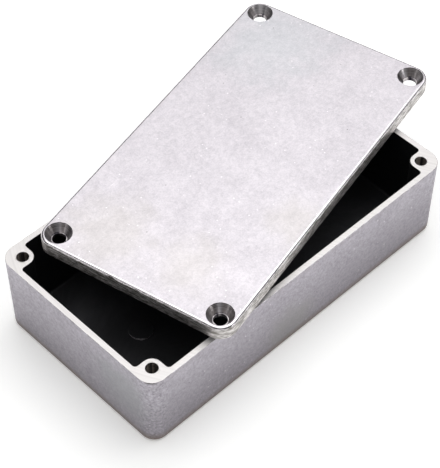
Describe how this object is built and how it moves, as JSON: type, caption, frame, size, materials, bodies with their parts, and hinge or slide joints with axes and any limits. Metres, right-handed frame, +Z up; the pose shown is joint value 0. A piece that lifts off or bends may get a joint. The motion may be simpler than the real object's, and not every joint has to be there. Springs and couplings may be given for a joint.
{
  "type": "die-cast aluminium enclosure",
  "caption": "Small rectangular die-cast aluminium box with corner screw bosses, open at the top, its countersunk lid lying turned across it.",
  "frame": {"origin": "centre of the box's flat underside", "axes": "+X along the box's long side, +Y along its short side, +Z up out of the box's mouth"},
  "size_m": [0.1308, 0.0831, 0.033],
  "materials": {
    "box_casting": "as-cast and tumbled, satin grey, with the rim machined flat and bright",
    "lid_casting": "as-cast and tumbled, pale satin grey, fine scratches"
  },
  "bodies": {
    "root": {"box": "box_casting", "lid": "lid_casting"}
  },
  "joints": []
}
